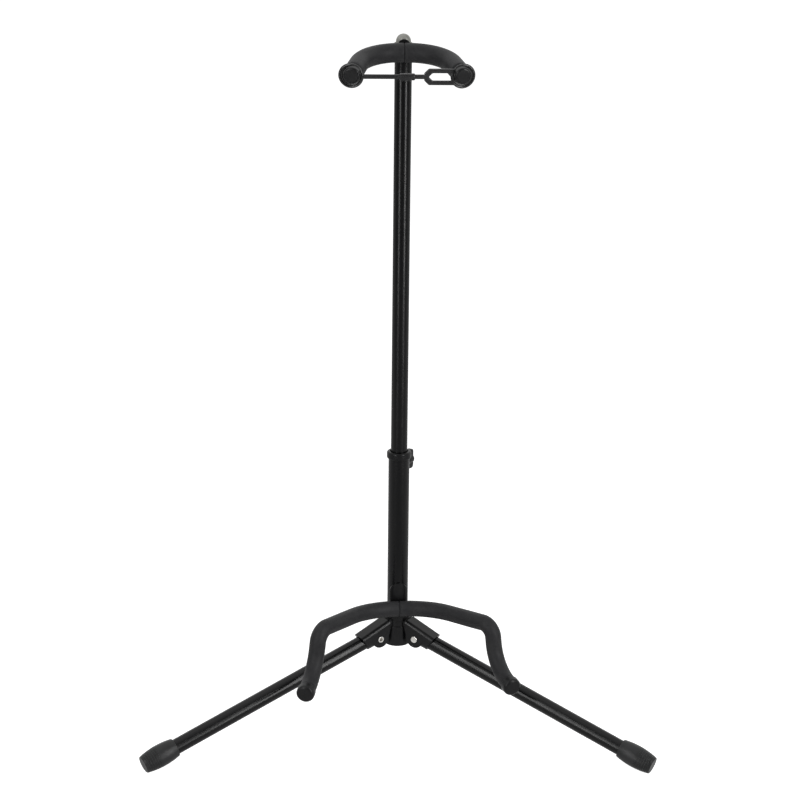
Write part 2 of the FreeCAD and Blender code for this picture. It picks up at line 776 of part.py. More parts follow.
def strap_ring(side):
    """Centre and arm direction of one strap ring in the yoke's flat frame."""
    points = yoke_points() if side > 0 else mirrored(yoke_points())
    along = unit(points[-1] - points[-2])
    outward = Vec(-along.y, along.x, 0) * side
    back = yoke_cap_length + strap_space / 2
    centre = points[-1] - along * back + outward * strap_spread - AXIS_Z * strap_hang
    return centre, along


def make_strap():
    """Neck strap: plain ring, narrow band with a flat in its middle, slotted frame, second ring."""
    half_thick = strap_thickness / 2
    rings = []
    holes = []
    for side in (-1, 1):
        centre, along = strap_ring(side)
        rings.append(cylinder(strap_ring_d / 2, strap_thickness, centre - along * half_thick, along))
        hole_base = centre - along * (half_thick + overrun)
        holes.append(cylinder(strap_hole_r, strap_thickness + 2 * overrun, hole_base, along))
        recess_base = centre + along * (half_thick - strap_recess)
        recess_r = strap_ring_d / 2 - strap_rim_width
        holes.append(cylinder(recess_r, strap_thickness, recess_base, along))
    centre, along = strap_ring(1)
    ring_wall_r = (strap_ring_d / 2 + strap_hole_r) / 2
    join_x = centre.x - ring_wall_r * abs(along.y)
    band_y = centre.y - ring_wall_r * along.x
    y_low = band_y - half_thick
    y_high = band_y + half_thick
    z = centre.z
    band_half = strap_band_height / 2
    band = block(-join_x, strap_frame_inner + strap_frame_end, y_low, y_high, z - band_half, z + band_half)
    rib_half = strap_rib_width / 2
    rib = block(
        -rib_half, rib_half, y_low - strap_rib_thickness, y_high,
        z - strap_rib_height / 2, z + strap_rib_height / 2,
    )
    frame_half = strap_frame_height / 2
    frame = block(strap_frame_inner, join_x, y_low, y_high, z - frame_half, z + frame_half)

    def inner_corner(edge):
        box = edge.BoundBox
        return box.XMax < strap_frame_inner + same_place and box.YLength > half_thick

    frame = frame.makeChamfer(strap_frame_corner, [e for e in frame.Edges if inner_corner(e)])
    slot_half = frame_half - strap_frame_side
    slot = block(
        strap_frame_inner + strap_frame_end, centre.x, y_low - overrun, y_high + overrun,
        z - slot_half, z + slot_half,
    )

    def slot_corner(edge):
        box = edge.BoundBox
        return box.XMax < strap_frame_inner + strap_frame_end + same_place and box.YLength > half_thick

    slot = slot.makeChamfer(strap_slot_corner, [e for e in slot.Edges if slot_corner(e)])
    strap = fuse([fuse([frame, band, rib]).cut(slot)] + rings).cut(holes)
    return turn_yoke(place_yoke(strap))


def cradle_points():
    """Centre line of the cradle's right half, from the middle of the crossbar to the tip."""
    return [
        Vec(0, -cradle_bar_reach, cradle_bar_z),
        Vec(cradle_shoulder_half, -cradle_bar_reach, cradle_bar_z),
        Vec(
            cradle_corner_half, -cradle_bar_reach - cradle_corner_reach,
            cradle_bar_z + cradle_corner_rise,
        ),
        Vec(
            cradle_bend_half, -cradle_bar_reach - cradle_corner_reach,
            cradle_bar_z - cradle_bend_drop,
        ),
        Vec(cradle_tip_half, -cradle_bar_reach - cradle_tip_reach, cradle_bar_z - cradle_tip_drop),
    ]


cradle_radii = [cradle_shoulder_radius, cradle_corner_radius, cradle_bend_radius]


def make_cradle_foam(side):
    """Foam sleeve on one half of the cradle, notched behind for the bracket."""
    points = shortened(cradle_points(), cradle_cap_length)
    if side < 0:
        points = mirrored(points)
    foam = sleeve_on_rod(points, cradle_radii, cradle_foam_d)
    half = cradle_plate_width / 2 + cradle_notch_gap
    room = block(
        -half, half, -cradle_bar_reach, tube_od,
        cradle_bar_z - cradle_foam_d, cradle_bar_z + cradle_foam_d,
    )
    return turn_post(foam.cut(room))


def make_cradle_cap(side):
    """Round cap on one tip of the cradle."""
    points = cradle_points() if side > 0 else mirrored(cradle_points())
    return turn_post(make_end_cap(points, cradle_cap_d, cradle_cap_length, cradle_cap_round))


def make_cradle_bracket():
    """Curved plate on the lower tube with a tail in the hub and a weld saddle for the rod."""
    shell = pipe(
        tube_od + 2 * (press_gap + cradle_sheet), tube_od + 2 * press_gap,
        hub_top_z - cradle_tail_depth, hub_top_z + cradle_plate_rise,
    )
    half = cradle_plate_width / 2
    arch_z = hub_top_z + cradle_plate_rise - half
    window = fuse(
        [
            block(-half, half, -tube_od, 0, hub_top_z, arch_z),
            cylinder(half, tube_od, Vec(0, -tube_od, arch_z), AXIS_Y),
            block(
                -cradle_tail_width / 2, cradle_tail_width / 2, -tube_od, 0,
                hub_top_z - cradle_tail_depth, hub_top_z,
            ),
        ]
    )
    saddle = block(
        -half / 2, half / 2, -cradle_bar_reach, -tube_od / 2 - cradle_sheet / 2,
        cradle_bar_z - rod_d / 2, cradle_bar_z + rod_d / 2,
    )
    rod = whole_rod(cradle_points(), cradle_radii, cap_rod_wall)
    plate = shell.common(window)
    return turn_post(fuse([plate, saddle]).cut(rod))


def build_stand():
    """All pieces by name, with the pole on the Z axis."""
    nodes = {
        "hub": make_hub(),
        "hub_screw": make_hub_screw(),
        "tube_end_plug": make_tube_plug(),
        "lower_tube": turn_post(make_lower_tube()),
        "height_collar": turn_post(make_collar()),
        "clamp_boss": turn_post(make_clamp_boss()),
        "clamp_stud": turn_post(make_clamp_stud()),
        "clamp_wing": turn_post(make_wing()),
        "cradle_bracket": make_cradle_bracket(),
        "cradle_rod": turn_post(whole_rod(cradle_points(), cradle_radii, cap_rod_wall)),
        "mast_tube": pipe(mast_od, mast_id, mast_base_z, mast_top_z),
        "mast_end_bush": make_mast_bush(),
        "yoke_hub": make_yoke_hub(),
        "swivel_bolt": make_swivel_bolt(),
        "friction_washer": make_washer(friction_washer_d, yoke_hub_top_z, friction_washer_height),
        "upper_washer": make_washer(upper_washer_d, plate_top_z, upper_washer_height),
        "cap_nut": make_cap_nut(),
        "yoke_bracket": make_yoke_bracket(),
        "yoke_rod": turn_yoke(place_yoke(whole_rod(yoke_points(), yoke_radii, cap_rod_wall))),
        "neck_strap": make_strap(),
    }
    for name, side in (("left", -1), ("right", 1)):
        nodes["cradle_foam_" + name] = make_cradle_foam(side)
        nodes["cradle_cap_" + name] = make_cradle_cap(side)
        nodes["yoke_foam_" + name] = make_yoke_foam(side)
        nodes["yoke_cap_" + name] = make_yoke_cap(side)
    leg_tube = lean_leg(make_leg_tube())
    knuckle = make_knuckle()
    rivet = make_rivet()
    foot = lean_leg(make_foot())
    for name, azimuth in leg_azimuths.items():
        nodes["leg_tube_" + name] = place_leg(leg_tube, azimuth)
        nodes["leg_knuckle_" + name] = place_leg(knuckle, azimuth)
        nodes["leg_rivet_" + name] = place_leg(rivet, azimuth)
        nodes["foot_" + name] = stand_flat(place_leg(foot, azimuth))
    return nodes


def footprint_centre(nodes):
    """Middle of the stand's box on the floor."""
    box = FreeCAD.BoundBox()
    for shape in nodes.values():
        box.add(shape.optimalBoundingBox(False, False))
    return Vec(box.Center.x, box.Center.y, 0)


stand = build_stand()
shift = footprint_centre(stand) * -1
for node, shape in stand.items():
    shape.translate(shift)
    shape.exportStep("parts/" + node + ".step")
    print(node, "valid", shape.isValid(), "solids", len(shape.Solids), "volume", round(shape.Volume, 1))
print("shift", round(shift.x, 4), round(shift.y, 4))
print("pivot radius and height", round(pivot_r, 4), round(pivot_z, 4))
print("cradle bar", round(cradle_bar_reach, 3), round(cradle_bar_z, 3))
print("yoke bar", round(yoke_bar_reach, 3), round(yoke_bar_z, 3))
print("clamp height", round(clamp_z, 3), "nut top", round(nut_base_z + cap_nut_height, 3))
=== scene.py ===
"""Folding guitar stand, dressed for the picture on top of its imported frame.

The tubes, mouldings and fasteners keep their own solids and get their finishes here. The foam
sleeves and the rubber neck strap are modelled here, because their solids only hold their space.
"""

import json
import logging
import math
from dataclasses import dataclass
from enum import Enum
from typing import Any

import bmesh
import bpy
from bpy.types import Material, Node, NodeTree, Object
from mathutils import Matrix, Vector, noise


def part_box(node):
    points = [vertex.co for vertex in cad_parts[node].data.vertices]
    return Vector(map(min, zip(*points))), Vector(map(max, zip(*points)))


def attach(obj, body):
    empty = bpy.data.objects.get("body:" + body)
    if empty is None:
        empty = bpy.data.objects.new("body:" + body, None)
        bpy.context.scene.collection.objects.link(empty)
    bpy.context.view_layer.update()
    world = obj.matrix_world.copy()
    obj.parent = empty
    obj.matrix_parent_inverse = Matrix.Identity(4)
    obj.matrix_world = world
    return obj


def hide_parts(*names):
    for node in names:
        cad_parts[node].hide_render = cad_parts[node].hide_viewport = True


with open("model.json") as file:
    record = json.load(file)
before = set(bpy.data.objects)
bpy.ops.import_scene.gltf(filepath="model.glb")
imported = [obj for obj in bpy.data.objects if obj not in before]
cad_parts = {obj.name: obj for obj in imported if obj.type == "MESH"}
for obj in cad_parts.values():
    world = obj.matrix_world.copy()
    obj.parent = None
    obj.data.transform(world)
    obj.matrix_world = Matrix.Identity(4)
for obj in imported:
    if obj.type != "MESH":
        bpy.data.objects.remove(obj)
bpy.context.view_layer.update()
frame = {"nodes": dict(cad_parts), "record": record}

MM = 0.001
ON_PLANE_M = 1e-7
SAME_POINT_M = 1e-6
SLIGHT_M = 1e-5
ORIGIN = (0.0, 0.0, 0.0)
AXIS_Z = Vector((0.0, 0.0, 1.0))

log = logging.getLogger("guitar_stand")


class Side(Enum):
    """The two halves of a piece that is alike on both sides of the pole."""

    LEFT = -1
    RIGHT = 1


def linear(hex_code: str) -> tuple[float, float, float, float]:
    """Turn an sRGB hex colour into the linear colour that a shader takes.

    Args:
        hex_code: Six hex digits after a hash.

    Returns:
        Linear red, green and blue, and an alpha of 1.
    """
    values = []
    for start in (1, 3, 5):
        share = int(hex_code[start:start + 2], 16) / 255
        values.append(share / 12.92 if share <= 0.04045 else ((share + 0.055) / 1.055) ** 2.4)
    return (values[0], values[1], values[2], 1.0)


def add_node(
    tree: NodeTree,
    kind: str,
    settings: dict[Any, Any] | None = None,
    links: dict[Any, tuple[Node, str]] | None = None,
) -> Node:
    """Add a node with its settings and what feeds it.

    Args:
        tree: Node tree that gets the node.
        kind: Blender's name for the kind of node.
        settings: Values by socket name, socket number or node attribute.
        links: Source node and its output, by socket name or number of the new node.

    Returns:
        The new node.
    """
    node = tree.nodes.new(kind)
    for key, value in (settings or {}).items():
        if isinstance(key, int) or key in node.inputs:
            node.inputs[key].default_value = value
        else:
            setattr(node, key, value)
    for key, (source, output) in (links or {}).items():
        tree.links.new(source.outputs[output], node.inputs[key])
    return node


def new_tree(name: str) -> tuple[Material, NodeTree]:
    """Make an empty node material.

    Args:
        name: Name of the material.

    Returns:
        The material and its node tree.
    """
    material = bpy.data.materials.new(name)
    material.use_nodes = True
    material.node_tree.nodes.clear()
    return material, material.node_tree


def add_noise(
    tree: NodeTree,
    place: tuple[Node, str],
    size_mm: float,
    detail: float,
    roughness: float,
) -> Node:
    """Add soft noise on a surface.

    Args:
        tree: Node tree that gets the node.
        place: Node and output that give the place on the piece.
        size_mm: How large its clouds are.
        detail: How many finer layers it has.
        roughness: How strong the finer layers are.

    Returns:
        The noise node.
    """
    settings = {"Scale": 1 / (size_mm * MM), "Detail": detail, "Roughness": roughness}
    return add_node(tree, "ShaderNodeTexNoise", settings, {"Vector": place})


def add_range(
    tree: NodeTree,
    source: tuple[Node, str],
    span: tuple[float, float] = (0.0, 1.0),
    result: tuple[float, float] = (0.0, 1.0),
) -> Node:
    """Add a map from one span of values to another.

    Args:
        tree: Node tree that gets the node.
        source: Node and output that give the value.
        span: Lowest and highest value that count.
        result: What these two become.

    Returns:
        The map's node.
    """
    settings = {"From Min": span[0], "From Max": span[1], "To Min": result[0], "To Max": result[1]}
    return add_node(tree, "ShaderNodeMapRange", settings, {"Value": source})


def add_two_tone(
    tree: NodeTree, share: Node, first: str, second: str
) -> Node:
    """Add a blend of two colours.

    Args:
        tree: Node tree that gets the node.
        share: Map that gives the second colour's share.
        first: Hex code of the first colour.
        second: Hex code of the second colour.

    Returns:
        The blend's node.
    """
    settings = {"data_type": "RGBA", 6: linear(first), 7: linear(second)}
    return add_node(tree, "ShaderNodeMix", settings, {0: (share, "Result")})


def add_relief(
    tree: NodeTree,
    height: tuple[Node, str],
    depth_mm: float,
    strength: float,
    edge_mm: float,
) -> Node:
    """Add a fine relief, over edges rounded by the tool where they have a radius.

    Args:
        tree: Node tree that gets the nodes.
        height: Node and output that give the height.
        depth_mm: How deep the relief is.
        strength: How much of it shows.
        edge_mm: Radius of the edges, or 0 for none.

    Returns:
        The relief's node.
    """
    links = {"Height": height}
    if edge_mm:
        edge = add_node(tree, "ShaderNodeBevel", {"samples": 4, "Radius": edge_mm * MM})
        links["Normal"] = (edge, "Normal")
    settings = {"Strength": strength, "Distance": depth_mm * MM}
    return add_node(tree, "ShaderNodeBump", settings, links)


def add_surface(
    tree: NodeTree,
    settings: dict[Any, Any],
    links: dict[Any, tuple[Node, str]],
) -> None:
    """Add the shader and send it to the material's output.

    Args:
        tree: Node tree that gets the nodes.
        settings: The shader's values by socket name.
        links: What feeds its other sockets.
    """
    shader = add_node(tree, "ShaderNodeBsdfPrincipled", settings, links)
    add_node(tree, "ShaderNodeOutputMaterial", None, {"Surface": (shader, "BSDF")})


@dataclass(frozen=True)
class PowderCoat:
    """Black polyester powder coat on steel tube or sheet, sprayed and stoved.

    The eye sees a deep glossy black, with the faint orange peel of melted powder and a little
    haze where hands have rubbed it.
    """

    name: str
    colour: str
    rubbed_colour: str
    roughness: float
    rubbed_roughness: float
    specular: float
    peel_mm: float = 3.2
    peel_depth_mm: float = 0.002
    peel_strength: float = 0.5
    rub_mm: float = 38.0
    rub_span: tuple[float, float] = (0.5, 0.72)
    edge_mm: float = 0.3

    def build(self) -> Material:
        """Make the material.

        Returns:
            The finished material.
        """
        material, tree = new_tree(self.name)
        place = (add_node(tree, "ShaderNodeTexCoord"), "Object")
        peel = add_noise(tree, place, size_mm=self.peel_mm, detail=2.0, roughness=0.4)
        rub = add_noise(tree, place, size_mm=self.rub_mm, detail=5.0, roughness=0.62)
        haze = add_range(tree, (rub, "Fac"), self.rub_span)
        shade = add_two_tone(tree, haze, self.colour, self.rubbed_colour)
        dull = add_range(tree, (haze, "Result"), result=(self.roughness, self.rubbed_roughness))
        bump = add_relief(
            tree, (peel, "Fac"), self.peel_depth_mm, self.peel_strength, self.edge_mm
        )
        add_surface(
            tree,
            {"Metallic": 0.0, "IOR": 1.5, "Specular IOR Level": self.specular},
            {"Base Color": (shade, "Result"), "Roughness": (dull, "Result"),
             "Normal": (bump, "Normal")},
        )
        return material


@dataclass(frozen=True)
class MouldedPolymer:
    """Black injection-moulded plastic or rubber, with the fine grain of a spark-eroded mould.

    The eye sees a soft grey sheen over charcoal, a slight bloom of dust and mould release in
    patches, and edges rounded by the tool. The real grain is about 0.1 mm, too fine for the
    picture, so it is drawn coarser.
    """

    name: str
    colour: str
    bloom_colour: str
    roughness: float
    bloom_roughness: float
    specular: float
    grain_mm: float = 0.9
    grain_depth_mm: float = 0.03
    grain_strength: float = 0.35
    bloom_mm: float = 24.0
    bloom_span: tuple[float, float] = (0.42, 0.68)
    edge_mm: float = 0.45
    sheen: float = 0.0

    def build(self) -> Material:
        """Make the material.

        Returns:
            The finished material.
        """
        material, tree = new_tree(self.name)
        place = (add_node(tree, "ShaderNodeTexCoord"), "Object")
        grain = add_noise(tree, place, size_mm=self.grain_mm, detail=3.0, roughness=0.6)
        patch = add_noise(tree, place, size_mm=self.bloom_mm, detail=6.0, roughness=0.6)
        bloom = add_range(tree, (patch, "Fac"), self.bloom_span)
        shade = add_two_tone(tree, bloom, self.colour, self.bloom_colour)
        dull = add_range(tree, (bloom, "Result"), result=(self.roughness, self.bloom_roughness))
        bump = add_relief(
            tree, (grain, "Fac"), self.grain_depth_mm, self.grain_strength, self.edge_mm
        )
        add_surface(
            tree,
            {"Metallic": 0.0, "IOR": 1.5, "Specular IOR Level": self.specular,
             "Sheen Weight": self.sheen, "Sheen Roughness": 0.5},
            {"Base Color": (shade, "Result"), "Roughness": (dull, "Result"),
             "Normal": (bump, "Normal")},
        )
        return material


@dataclass(frozen=True)
class ClosedCellFoam:
    """Extruded closed-cell nitrile foam sleeve with its thin skin.

    The eye sees a matte charcoal with a soft edge light, tiny pits where cells opened at the skin,
    darkened by painted shade in their hollows, and cloudy patches a shade lighter. Real cells are
    about 0.3 mm, too fine for the picture, so they are drawn at about 1 mm.
    """

    name: str
    colour: str
    cloud_colour: str
    # Darker colour of the pits: painted shade in the hollows of opened cells.
    pit_shade_colour: str
    roughness: float = 0.52
    specular: float = 0.2
    sheen: float = 0.03
    cell_mm: float = 1.0
    cell_depth_mm: float = 0.12
    cell_strength: float = 0.3
    cloud_mm: float = 15.0
    cloud_span: tuple[float, float] = (0.36, 0.66)
    pit_mm: float = 1.7
    pit_depth_mm: float = 0.4
    pit_strength: float = 0.35
    pit_shade_span: tuple[float, float] = (0.56, 0.72)
    pit_shade_share: float = 0.8

    def build(self) -> Material:
        """Make the material.

        Returns:
            The finished material.
        """
        material, tree = new_tree(self.name)
        place = (add_node(tree, "ShaderNodeTexCoord"), "Object")
        cells = add_node(
            tree, "ShaderNodeTexVoronoi",
            {"feature": "F1", "Scale": 1 / (self.cell_mm * MM), "Randomness": 1.0},
            {"Vector": place},
        )
        cloud = add_noise(tree, place, size_mm=self.cloud_mm, detail=6.0, roughness=0.58)
        speck = add_noise(tree, place, size_mm=self.pit_mm, detail=3.0, roughness=0.7)
        cloudy = add_range(tree, (cloud, "Fac"), self.cloud_span)
        # Painted shade: this mask darkens the skin where cells opened into pits.
        pit_shade = add_range(tree, (speck, "Fac"), self.pit_shade_span, (0.0, self.pit_shade_share))
        skin = add_two_tone(tree, cloudy, self.colour, self.cloud_colour)
        shade = add_node(
            tree, "ShaderNodeMix",
            {"data_type": "RGBA", 7: linear(self.pit_shade_colour)},
            {0: (pit_shade, "Result"), 6: (skin, "Result")},
        )
        cell_bump = add_relief(
            tree, (cells, "Distance"), self.cell_depth_mm, self.cell_strength, edge_mm=0.0
        )
        bump = add_node(
            tree, "ShaderNodeBump",
            {"Strength": self.pit_strength, "Distance": self.pit_depth_mm * MM},
            {"Height": (speck, "Fac"), "Normal": (cell_bump, "Normal")},
        )
        add_surface(
            tree,
            {"Metallic": 0.0, "IOR": 1.45, "Roughness": self.roughness,
             "Specular IOR Level": self.specular, "Sheen Weight": self.sheen,
             "Sheen Roughness": 0.6},
            {"Base Color": (shade, "Result"), "Normal": (bump, "Normal")},
        )
        return material


@dataclass(frozen=True)
class PlatedSteel:
    """Zinc or nickel plated steel fastener, turned or cold-headed before plating.

    The eye sees a bright grey metal with fine marks that run round it and a dull bloom in
    places. The marks of about 0.05 mm are drawn coarser so that they show.
    """

    name: str
    colour: str
    bloom_colour: str
    roughness: float
    bloom_roughness: float
    mark_mm: float = 0.5
    mark_depth_mm: float = 0.01
    mark_strength: float = 0.3
    mark_stretch: tuple[float, float, float] = (0.12, 0.12, 1.0)
    bloom_mm: float = 5.0
    bloom_span: tuple[float, float] = (0.4, 0.7)
    edge_mm: float = 0.25

    def build(self) -> Material:
        """Make the material.

        Returns:
            The finished material.
        """
        material, tree = new_tree(self.name)
        place = (add_node(tree, "ShaderNodeTexCoord"), "Object")
        stretch = add_node(
            tree, "ShaderNodeMapping", {"Scale": self.mark_stretch}, {"Vector": place}
        )
        marks = add_noise(
            tree, (stretch, "Vector"), size_mm=self.mark_mm, detail=3.0, roughness=0.5
        )
        patch = add_noise(tree, place, size_mm=self.bloom_mm, detail=4.0, roughness=0.6)
        bloom = add_range(tree, (patch, "Fac"), self.bloom_span)
        shade = add_two_tone(tree, bloom, self.colour, self.bloom_colour)
        dull = add_range(tree, (bloom, "Result"), result=(self.roughness, self.bloom_roughness))
        bump = add_relief(
            tree, (marks, "Fac"), self.mark_depth_mm, self.mark_strength, self.edge_mm
        )
        add_surface(
            tree, {"Metallic": 1.0},
            {"Base Color": (shade, "Result"), "Roughness": (dull, "Result"),
             "Normal": (bump, "Normal")},
        )
        return material


class Finish(Enum):
    """The stand's finishes, named by the record's material slots."""

    GLOSS_TUBE = "gloss_black_steel"
    SHEET = "black_sheet"
    ROD = "bare_rod"
    ZINC = "zinc_steel"
    RIVET = "rivet_steel"
    MOULDING = "black_moulding"
    BUSH = "bush_plastic"
    FOAM = "foam"
    FOOT = "foot_rubber"
    STRAP = "strap_rubber"


RECIPES = {
    Finish.GLOSS_TUBE: PowderCoat(
        "powder_coat_gloss_black", "#070708", "#0a0a0b", roughness=0.25, rubbed_roughness=0.3,
        specular=0.24, edge_mm=0.0
    ),
    Finish.SHEET: PowderCoat(
        "powder_coat_satin_black", "#0d0d0e", "#121213", roughness=0.3, rubbed_roughness=0.38,
        specular=0.25
    ),
    Finish.ROD: PowderCoat(
        "dip_paint_black", "#111112", "#161617", roughness=0.45, rubbed_roughness=0.55,
        specular=0.3
    ),
    Finish.ZINC: PlatedSteel(
        "zinc_plate_bright", "#94948f", "#7f7f7a", roughness=0.42, bloom_roughness=0.52
    ),
    Finish.RIVET: PlatedSteel(
        "nickel_plate_bright", "#e6e4e0", "#d2d0cb", roughness=0.2, bloom_roughness=0.3
    ),
    Finish.MOULDING: MouldedPolymer(
        "glass_filled_nylon_black", "#111112", "#171718", roughness=0.28, bloom_roughness=0.37,
        specular=0.22
    ),
    Finish.BUSH: MouldedPolymer(
        "acetal_black", "#0c0c0d", "#111112", roughness=0.26, bloom_roughness=0.34, specular=0.2,
        grain_mm=1.4, grain_depth_mm=0.015
    ),
    # The foam's third colour is the painted shade of its pits.
    Finish.FOAM: ClosedCellFoam("nitrile_foam_charcoal", "#1f1f21", "#282829", "#171719"),
    Finish.FOOT: MouldedPolymer(
        "moulded_rubber_foot", "#191a1a", "#232324", roughness=0.36, bloom_roughness=0.46,
        specular=0.3, grain_mm=1.1, edge_mm=0.15, sheen=0.03
    ),
    Finish.STRAP: MouldedPolymer(
        "moulded_rubber_strap", "#161617", "#1c1c1d", roughness=0.27, bloom_roughness=0.36,
        specular=0.5, grain_mm=1.2, edge_mm=0.5, sheen=0.04
    ),
}


class Palette:
    """All finishes of the stand, each made once."""

    def __init__(self) -> None:
        """Make every material from its recipe."""
        self.materials = {finish: recipe.build() for finish, recipe in RECIPES.items()}

    def dress(self, piece: Object, finish: Finish) -> None:
        """Give a piece its finish.

        Args:
            piece: Mesh object that gets the material.
            finish: Which finish it gets.
        """
        piece.data.materials.clear()
        piece.data.materials.append(self.materials[finish])

    def dress_solids(self, nodes: dict[str, Object], record: dict[str, Any]) -> None:
        """Give every carried-over solid the finish that the record names for it.

        Args:
            nodes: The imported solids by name.
            record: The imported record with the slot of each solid.
        """
        for subpart in record["subparts"]:
            piece = nodes[subpart["node"]]
            material = self.materials[Finish(subpart["material_slot"])]
            for slot in piece.material_slots:
                slot.material = material
            log.info("%s dressed in %s", piece.name, material.name)


def finish_mesh(bm: bmesh.types.BMesh, name: str, sharp_deg: float = 40.0) -> Object:
    """Turn a finished bmesh into an object with smooth faces and sharp corners kept.

    Args:
        bm: The shape, in metres in the stand's frame. It is freed.
        name: Name of the new object.
        sharp_deg: Edges that fold more than this stay sharp.

    Returns:
        The new object at the origin.
    """
    bmesh.ops.remove_doubles(bm, verts=bm.verts, dist=SAME_POINT_M)
    bmesh.ops.recalc_face_normals(bm, faces=bm.faces)
    mesh = bpy.data.meshes.new(name)
    bm.to_mesh(mesh)
    bm.free()
    mesh.polygons.foreach_set("use_smooth", [True] * len(mesh.polygons))
    mesh.set_sharp_from_angle(angle=math.radians(sharp_deg))
    piece = bpy.data.objects.new(name, mesh)
    bpy.context.scene.collection.objects.link(piece)
    return piece


def edges_of(verts: list[Any]) -> list[Any]:
    """Edges that meet at any of some vertices, each once.

    Args:
        verts: The vertices.

    Returns:
        Their edges.
    """
    return list(dict.fromkeys(edge for vert in verts for edge in vert.link_edges))


def spin_section(
    bm: bmesh.types.BMesh, facets: int, radius: float, place: Matrix, steps: int
) -> None:
    """Spin a round section once about Z at the origin, into a closed ring.

    Args:
        bm: The shape being built.
        facets: Number of sides of the section.
        radius: Radius of the section before it is placed.
        place: Where the section stands, and how far it is flattened.
        steps: Number of steps round the ring.
    """
    section = bmesh.ops.create_circle(
        bm, cap_ends=False, segments=facets, radius=radius, matrix=place
    )["verts"]
    bmesh.ops.spin(
        bm, geom=edges_of(section), cent=ORIGIN, axis=AXIS_Z, angle=math.tau, steps=steps,
        use_merge=True, use_duplicate=False,
    )


@dataclass
class BentLine:
    """Centre line of a bent rod: straight runs joined by arcs, from the middle to one tip."""

    points: list[Vector]
    radii: list[float]

    def shortened(self, length: float) -> "BentLine":
        """Draw the tip back along the last run.

        Args:
            length: How far, in metres.

        Returns:
            The shorter line.
        """
        last = (self.points[-1] - self.points[-2]).normalized()
        return BentLine(self.points[:-1] + [self.points[-1] - last * length], self.radii)

    def runs(self) -> list[tuple[Vector, Vector, Vector, float]]:
        """Split the line into straight runs and arcs.

        Returns:
            For each run its shift, and for each arc its centre, axis and angle. What a run or an
            arc doesn't use is zero.
        """
        zero = Vector()
        found = []
        start = self.points[0]
        for before, corner, after, radius in zip(
            self.points, self.points[1:], self.points[2:], self.radii
        ):
            back = (before - corner).normalized()
            ahead = (after - corner).normalized()
            half_turn = (math.pi - back.angle(ahead)) / 2
            tangent = radius * math.tan(half_turn)
            centre = corner + (back + ahead).normalized() * (radius / math.cos(half_turn))
            found.append((corner + back * tangent - start, zero, zero, 0.0))
            found.append((zero, centre, ahead.cross(back).normalized(), 2 * half_turn))
            start = corner + ahead * tangent
        found.append((self.points[-1] - start, zero, zero, 0.0))
        return found


